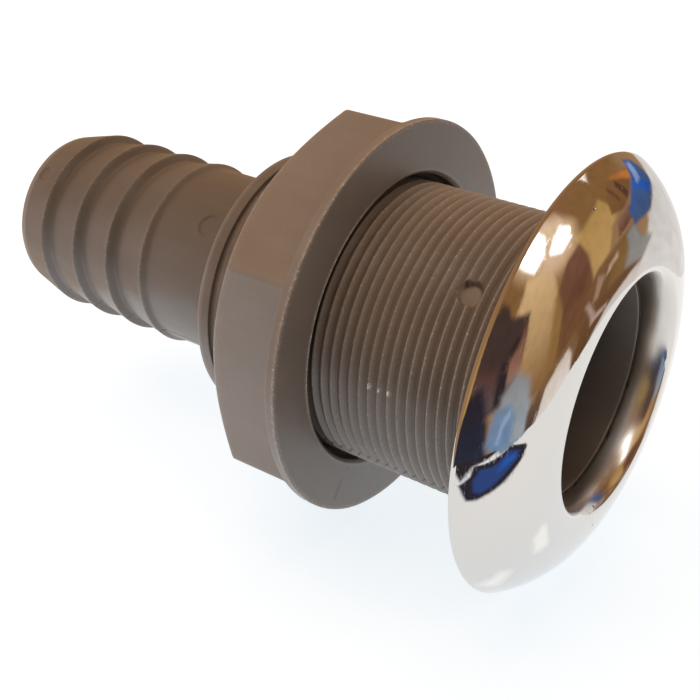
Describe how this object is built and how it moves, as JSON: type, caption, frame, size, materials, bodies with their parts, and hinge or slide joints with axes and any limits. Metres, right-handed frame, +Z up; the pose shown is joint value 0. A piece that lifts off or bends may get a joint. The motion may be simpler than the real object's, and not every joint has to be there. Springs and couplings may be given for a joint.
{
  "type": "thru hull fitting",
  "caption": "Barbed plastic thru-hull outlet with a threaded barrel, a flanged hex lock nut and a domed polished stainless trim cap.",
  "frame": {"origin": "centre of the plane in which the cap and the flange under it bear on the hull", "axes": "+X along the waterway, pointing outboard through the trim cap; the hose tail points along -X; +Z up"},
  "size_m": [0.1435, 0.0868, 0.0868],
  "materials": {
    "polished_stainless": "polished",
    "body_plastic": "satin",
    "nut_plastic": "satin"
  },
  "bodies": {
    "cap": {"trim_cap": "polished_stainless"},
    "fitting": {"threaded_body": "body_plastic"},
    "nut": {"lock_nut": "nut_plastic"}
  },
  "joints": [
    {"name": "body_turn", "type": "hinge", "parent": "cap", "child": "fitting", "pos_m": [0, 0, 0], "axis": [-1, 0, 0], "range_deg": [-3600, 6120]},
    {"name": "nut_travel", "type": "slide", "parent": "cap", "child": "nut", "axis": [1, 0, 0], "range_m": [-0.0213, 0.0361]}
  ],
  "couplings": [
    {"joint": "nut_travel", "follows": "body_turn", "m_per_rad": 0.00033688}
  ]
}
